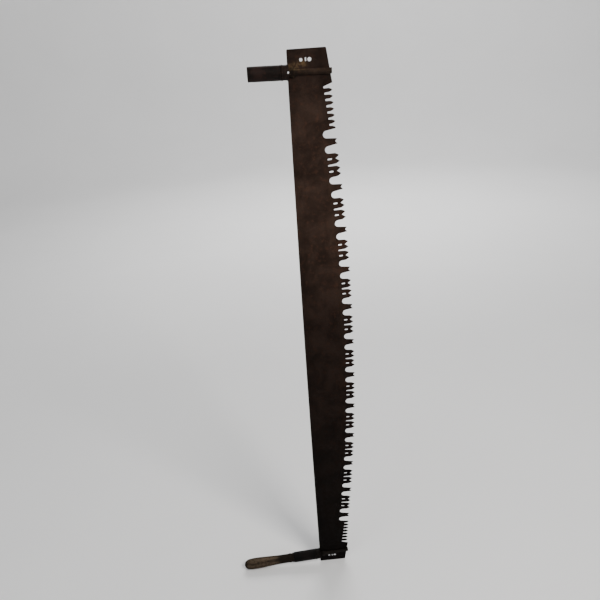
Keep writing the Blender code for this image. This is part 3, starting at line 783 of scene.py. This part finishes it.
# ---- handle pieces -----------------------------------------------------------------------------
class Handle:
    """One handle's frame and bodies. +X runs along its axis towards the teeth, from the back edge."""

    def __init__(self, side, bodies):
        joints = {joint["name"]: joint for joint in frame["joints"]}
        turn = next(j for name, j in joints.items() if name.startswith(side) and name.endswith("_turn"))
        along = Vector(joints[f"{side}_loop_travel"]["axis"]).normalized()
        across = Vector((0, 1, 0))
        up = along.cross(across)
        basis = Matrix((along, across, up)).transposed().to_4x4()
        self.side = side
        self.place = Matrix.Translation(turn["pos_m"]) @ basis
        self.back = self.place.inverted()
        self.saddle, self.loop, self.socket = bodies

    def copy(self, node):
        """The CAD node's mesh, welded, in the handle's frame."""
        bm = welded(node)
        bmesh.ops.transform(bm, matrix=self.back, verts=bm.verts)
        return bm

    def span(self, node):
        """(low x, high x, smallest radius, largest radius) of a CAD node about the handle's axis."""
        bm = self.copy(node)
        xs = [v.co.x for v in bm.verts]
        radii = [hypot(v.co.y, v.co.z) for v in bm.verts]
        bm.free()
        return min(xs), max(xs), min(radii), max(radii)

    def add(self, bm, node, label, finish, body, slot, cuts=()):
        obj = object_from(bm, f"{self.side}_{label}", finish, self.place)
        for tool in cuts:
            boolean(obj, tool, "DIFFERENCE")
        show(obj, node, body)


def softened(bm, width, segments=2, angle=28):
    """Rounds the corners of a copied CAD solid."""
    bmesh.ops.dissolve_limit(bm, angle_limit=radians(2), verts=bm.verts, edges=bm.edges)
    corners = [e for e in bm.edges if e.is_manifold and degrees(e.calc_face_angle(0.0)) > angle]
    bmesh.ops.bevel(
        bm, geom=corners, offset=width, segments=segments, profile=0.5, affect="EDGES", clamp_overlap=True
    )
    return bm


def dented(seed, amount):
    """A shape for turned(): slow dents and a fine scale in the round."""

    def shape(x, radius, turn):
        y, z = radius * cos(turn), radius * sin(turn)
        return radius + amount * (0.7 * wave(x, y, z, 90.0, seed) + 0.3 * wave(x, y, z, 420.0, seed) - 0.6)

    return shape


def make_strap(handle, finish):
    node = f"{handle.side}_loop_strap"
    bm = softened(handle.copy(node), STRAP_ROUNDING)
    for v in bm.verts:
        x, _, z = v.co
        v.co.z += STRAP_WAVE * wave(x, 0, z, 150.0, 2.9)
    handle.add(bm, node, "strap_band", finish, handle.loop, "forged_iron")


def make_saddle(handle, finish):
    """The beaded ring, with the slot for the blade and the gap across it as in the CAD."""
    node = f"{handle.side}_saddle_ring"
    back, front, bore, rim = handle.span(node)
    waist = rim - BEAD_RISE

    def bead(start):
        shares = [i / BEAD_STEPS for i in range(BEAD_STEPS + 1)]
        return [(start + BEAD * share, waist + BEAD_RISE * sin(pi * share)) for share in shares]

    hind, fore = bead(back), bead(front - BEAD - 0.0006)
    outer = [(back, bore + 0.0005), (back, waist - 0.0006), *hind, *fore]
    outer += [(front, waist - 0.0004), (front, bore), (back + 0.0005, bore)]
    profile = spaced(outer, SADDLE_SPACING)
    bm = turned(profile, shape=dented(1.3, SADDLE_DENT))
    floor_x, slot_half, gap_start, gap_half = saddle_cuts(handle, node)
    slot = block((floor_x, -slot_half, -0.03), (front + 0.01, slot_half, 0.03))
    gap = block((gap_start, -0.03, -gap_half), (front + 0.01, 0.03, gap_half))
    handle.add(bm, node, "saddle_collar", finish, handle.saddle, "cast_iron", (slot, gap))


def saddle_cuts(handle, node):
    """[slot floor x, slot half width, gap start x, gap half height], read from the CAD ring's walls."""
    bm = handle.copy(node)
    found = []
    for axis, reach in ((1, 0.003), (2, 0.006)):
        square = [f for f in bm.faces if abs(abs(f.normal[axis]) - 1) < 1e-3]
        sides = [f for f in square if abs(f.calc_center_median()[axis]) < reach]
        found.append(min(v.co.x for f in sides for v in f.verts))
        found.append(max(abs(f.calc_center_median()[axis]) for f in sides))
    bm.free()
    return found


def make_washer(handle, finish):
    node = f"{handle.side}_thrust_washer"
    back, front, bore, rim = handle.span(node)
    c = WASHER_WEAR
    profile = [
        (back, bore),
        (back, rim - c),
        (back + c * 0.4, rim - c * 0.3),
        (back + c, rim),
        (front - c, rim),
        (front - c * 0.4, rim - c * 0.3),
        (front, rim - c),
        (front, bore),
    ]
    bm = turned(spaced(profile, WASHER_SPACING), shape=dented(6.1, WASHER_DENT))
    handle.add(bm, node, "bearing_washer", finish, handle.saddle, "fastener_iron")


def make_socket(handle, finish, holes):
    """The rolled tube: dented, its mouth worn a little oval, with a lap seam along its far side."""
    node = f"{handle.side}_socket_tube"
    mouth, front, bore, rim = handle.span(node)
    c = MOUTH_WEAR
    outer = [
        (mouth, bore + c * 0.8),
        (mouth + c * 0.10, bore + c * 1.4),
        (mouth + c * 0.35, rim - c * 0.35),
        (mouth + c, rim),
        (front - c, rim),
        (front - c * 0.3, rim - c * 0.3),
        (front, rim - c),
        (front, bore),
    ]
    inner = [(front, bore), (mouth + c, bore), (mouth, bore + c * 0.8)]
    profile = spaced(outer, TUBE_SPACING)[:-1] + spaced(inner, TUBE_SPACING)[:-1]
    plain = dented(9.4 if handle.side == "upper" else 2.2, TUBE_DENT)

    def shape(x, radius, turn):
        if radius < (bore + rim) / 2 and x > mouth + c:
            return radius
        near_mouth = smooth_step(1 - (x - mouth) / TUBE_OVAL_REACH)
        oval = TUBE_OVAL * near_mouth * (1 - cos(2 * turn + 0.7)) / 2
        seam = TUBE_SEAM * smooth_step(1 - abs(turn_between(turn, TUBE_SEAM_TURN)) / TUBE_SEAM_WIDTH)
        return plain(x, radius, turn) - oval - seam

    bm = turned(profile, TUBE_STEPS, shape)
    handle.add(bm, node, "tube", finish, handle.socket, "wrought_tube", [hole(rim) for hole in holes])


def across_hole(x, radius, start):
    """A maker of the bar that cuts a hole on the far side of the tube."""
    return lambda rim: bar((x, start, 0), (x, rim + 0.004, 0), radius)


def make_bolt(handle, finish):
    """The draw bolt, with a real helical thread and its flat tang."""
    node = f"{handle.side}_draw_bolt"
    pin_low, pin_high, _, _ = handle.span(f"{handle.side}_stop_pin")
    end, start, _, radius = handle.span(node)
    copy = handle.copy(node)
    shoulder = max(v.co.x for v in copy.verts if hypot(v.co.y, v.co.z) > radius - 0.0002)
    thick = max(abs(v.co.y) for v in copy.verts if v.co.x > shoulder + 0.002)
    wide = max(abs(v.co.z) for v in copy.verts if v.co.x > shoulder + 0.002)
    copy.free()
    steps = int((shoulder - end) / THREAD_PITCH * THREAD_STEPS_A_TURN)
    profile = [(end, 0), (end, radius - 0.0016)]
    profile += [(end + (shoulder - end) * (i + 0.5) / steps, radius) for i in range(steps)]
    profile += [(shoulder, radius - 0.0012), (shoulder, 0)]

    def shape(x, r, turn):
        if r < radius:
            return r
        phase = (x / THREAD_PITCH + turn / (2 * pi)) % 1.0
        crest = abs(2 * phase - 1)
        runout = smooth_step((x - end) / THREAD_RUNOUT[0]) * smooth_step((shoulder - x) / THREAD_RUNOUT[1])
        depth = THREAD_DEPTH * (1 - min(1.0, crest * 1.25)) * runout
        taper = BOLT_POINT[0] * (1 - smooth_step((x - end) / BOLT_POINT[1]))
        return r - depth - taper

    thread = turned(profile, BOLT_STEPS, shape)
    obj = object_from(thread, f"{handle.side}_threaded_bolt", finish, handle.place)
    boolean(obj, softened(block((shoulder - 0.004, -thick, -wide), (start, thick, wide)), 0.0003), "UNION")
    for label in ("near_strap_rivet", "far_strap_rivet"):
        low, high, _, _ = handle.span(f"{handle.side}_{label}")
        x = (low + high) / 2
        boolean(obj, bar((x, -0.01, 0), (x, 0.01, 0), RIVET_HOLE_RADIUS), "DIFFERENCE")
    x, reach = (pin_low + pin_high) / 2, radius + 0.003
    boolean(obj, bar((x, 0, -reach), (x, 0, reach), (pin_high - pin_low) / 2 + CLEARANCE), "DIFFERENCE")
    show(obj, node, handle.loop)


def hammered(bm, amount, seed):
    """Small dents all over a pin, rivet or nut."""
    for v in bm.verts:
        x, y, z = v.co
        pull = 1 - amount * (1 + wave(x, y, z, 700.0, seed)) / max(hypot(y, z), 0.002)
        v.co.z *= pull
    return bm


def make_small_parts(handle, finish):
    """Rivets, pins and the nut: the CAD solids with rounded, slightly hammered corners."""
    parts = (
        ("near_strap_rivet", "near_rivet", handle.loop, 0.00030),
        ("far_strap_rivet", "far_rivet", handle.loop, 0.00030),
        ("stop_pin", "cross_pin", handle.loop, 0.00035),
        ("socket_nut", "running_nut", handle.socket, 0.00040),
        ("nut_pin", "nut_lock_pin", handle.socket, 0.00030),
    )
    for k, (node, label, body, width) in enumerate(parts):
        name = f"{handle.side}_{node}"
        bm = hammered(softened(handle.copy(name), width, 3, 24), PIN_DENT, 1.1 + k)
        handle.add(bm, name, label, finish, body, "fastener_iron")


def make_grip(handle, finish):
    """The turned grip: tenon, two beads, a swelling body and a worn round tip, split by drying."""
    node = f"{handle.side}_wooden_grip"
    tip, tenon_start, _, thickest = handle.span(node)
    mouth, _, bore, _ = handle.span(f"{handle.side}_socket_tube")
    shoulder, tenon = mouth - CLEARANCE, bore - CLEARANCE
    line = [(shoulder + (tip - shoulder) * share, thickest * size) for share, size in GRIP_LINE]
    base, radius = line[-1]
    turns = [pi / 2 * i / GRIP_TIP_STEPS for i in range(1, GRIP_TIP_STEPS)]
    line += [(base + (tip - base) * sin(t), radius * cos(t) ** GRIP_TIP_BLUNTNESS) for t in turns]
    start = [(tenon_start, 0), (tenon_start, tenon * 0.5), (tenon_start, tenon - 0.001)]
    start += [(tenon_start - 0.001, tenon), (shoulder, tenon)]
    profile = spaced(start + line, GRIP_SPACING) + [(tip, 0)]

    def shape(x, r, turn):
        if x > shoulder:
            return r
        y, z = r * cos(turn), r * sin(turn)
        slow, fine = wave(x * 0.25, y, z, 120.0, 7.7), wave(x * 0.1, y, z, 700.0, 3.1)
        r -= GRIP_RIPPLE * (0.5 + 0.5 * slow) + GRIP_SCRATCH * (1 + fine)
        for high, low, middle_turn, depth in CRACKS:
            inside = smooth_step((high - x) / CRACK_FADE) * smooth_step((x - low) / CRACK_FADE)
            wander = CRACK_WANDER * wave(x, 0, 0, 60.0, middle_turn)
            off = abs(turn_between(turn, middle_turn + wander))
            r -= depth * inside * smooth_step(1 - off / CRACK_WIDTH)
        return max(r, 0.0004)

    bm = turned(profile, GRIP_STEPS, shape)
    nail_low, nail_high, _, _ = handle.span(f"{handle.side}_grip_nail")
    nail = handle.copy(f"{handle.side}_grip_nail")
    inner = min(v.co.y for v in nail.verts)
    shaft = max(abs(v.co.z) for v in nail.verts if v.co.y < inner + 0.004)
    nail.free()
    x = (nail_low + nail_high) / 2
    cut = bar((x, inner - CLEARANCE, 0), (x, 0.02, 0), shaft + CLEARANCE)
    handle.add(bm, node, "turned_grip", finish, handle.socket, "weathered_wood", [cut])
    return x, shaft


def make_nail(handle, finish):
    name = f"{handle.side}_grip_nail"
    bm = hammered(softened(handle.copy(name), 0.00030, 3, 24), NAIL_DENT, 5.2)
    handle.add(bm, name, "clout_nail", finish, handle.socket, "fastener_iron")


def nut_pin_hole(handle):
    name = f"{handle.side}_nut_pin"
    low, high, _, _ = handle.span(name)
    pin = handle.copy(name)
    inner = min(v.co.y for v in pin.verts)
    pin.free()
    return across_hole((low + high) / 2, (high - low) / 2 + CLEARANCE, inner)


def make_handle(handle, has_grip):
    is_upper = handle.side == "upper"
    seed = 0.0 if is_upper else 17.0

    # the lower handle's iron tones are darkened and cooled as painted shade
    def tones(colours):
        return colours if is_upper else [tuple(a * b for a, b in zip(c, LOWER_PAINTED_SHADE)) for c in colours]

    lug_end = STRAP_LUG_END if is_upper else None
    strap = iron_finish(f"{handle.side}_strap_rust", tones(STRAP_TONES), 170.0, 1.0 + seed, lug_end=lug_end)
    tube = iron_finish(f"{handle.side}_tube_rust", tones(TUBE_TONES), 150.0, 4.0 + seed, (0.45, 0.80))
    ring = iron_finish(f"{handle.side}_ring_rust", tones(RING_TONES), 190.0, 7.0 + seed)
    pins = iron_finish(f"{handle.side}_fastener_rust", tones(PIN_TONES), 240.0, 9.0 + seed, (0.40, 0.75))
    make_strap(handle, strap)
    make_bolt(handle, pins)
    make_small_parts(handle, pins)
    make_saddle(handle, ring)
    make_washer(handle, ring)
    holes = [nut_pin_hole(handle)]
    if has_grip:
        mouth, _, _, _ = handle.span(f"{handle.side}_socket_tube")
        tip, _, _, _ = handle.span(f"{handle.side}_wooden_grip")
        x, shaft = make_grip(handle, wood_finish(mouth, tip))
        make_nail(handle, pins)
        holes.append(across_hole(x, shaft + CLEARANCE, 0.005))
    make_socket(handle, tube, holes)


# ---- stage, lights and camera ------------------------------------------------------------------
def make_stage():
    """A pale floor that curves up into a far round wall."""
    f = Finish("studio_paper")
    mottle = f.noise(1.3, 3.0, 0.5)
    colour = f.scaled(STAGE_COLOUR, f.line(mottle, 0.3, 0.7, 0.985, 1.015))
    finish = f.close(colour, 0.9, f.bump(f.noise(240.0, 2.0), 0.0002, 0.1), PAPER_GLOSS)
    cove = [pi / 2 * i / STAGE_COVE_STEPS for i in range(1, STAGE_COVE_STEPS + 1)]
    line = [(reach, 0.0) for reach in STAGE_FLAT_RADII]
    flat = STAGE_FLAT_RADII[-1]
    line += [(flat + STAGE_COVE_RADIUS * sin(t), STAGE_COVE_RADIUS * (1 - cos(t))) for t in cove]
    line.append((flat + STAGE_COVE_RADIUS, STAGE_HEIGHT))
    bm = bmesh.new()
    rings = []
    for reach, height in line:
        turns = ring_turns(STAGE_STEPS)
        rings.append([bm.verts.new((reach * cos(t), reach * sin(t), height)) for t in turns])
    bm.faces.new(rings[0])
    bridged(bm, rings[::-1])
    mesh = bpy.data.meshes.new("studio_floor")
    bm.to_mesh(mesh)
    bm.free()
    mesh.shade_smooth()
    mesh.materials.append(finish)
    ground = bpy.data.objects.new("studio_floor", mesh)
    bpy.context.scene.collection.objects.link(ground)
    ground.location.z = floor(CAD_BOX[0].z * 1e6) / 1e6


def aimed(obj, place, target):
    obj.location = place
    obj.rotation_mode = "QUATERNION"
    obj.rotation_quaternion = (Vector(target) - Vector(place)).to_track_quat("-Z", "Y")


def make_lights():
    for name, (place, target, width, height, power, colour) in LIGHTS.items():
        data = bpy.data.lights.new(name, "AREA")
        data.shape = "RECTANGLE"
        data.size, data.size_y = width, height
        data.energy = power
        data.color = colour
        light = bpy.data.objects.new(name, data)
        bpy.context.scene.collection.objects.link(light)
        aimed(light, place, target)
    world = bpy.data.worlds.new("studio_air")
    world.use_nodes = True
    sky = world.node_tree.nodes["Background"]
    sky.inputs["Color"].default_value = (*WORLD_COLOUR, 1.0)
    sky.inputs["Strength"].default_value = WORLD_STRENGTH
    bpy.context.scene.world = world


def make_camera():
    data = bpy.data.cameras.new("photo_camera")
    data.lens = CAMERA_LENS
    camera = bpy.data.objects.new("photo_camera", data)
    bpy.context.scene.collection.objects.link(camera)
    basis = Matrix((CAMERA_RIGHT, CAMERA_UP, CAMERA_BACK)).transposed().to_4x4()
    camera.matrix_world = Matrix.Translation(CAMERA_PLACE) @ basis
    bpy.context.scene.camera = camera


def main():
    upper = Handle("upper", ("upper_saddle", "upper_loop", "upper_socket"))
    lower = Handle("lower", ("lower_saddle", "lower_loop", "lower_grip"))
    make_blade(upper.place.translation.z)
    make_handle(upper, has_grip=False)
    make_handle(lower, has_grip=True)
    make_stage()
    make_lights()
    make_camera()


main()
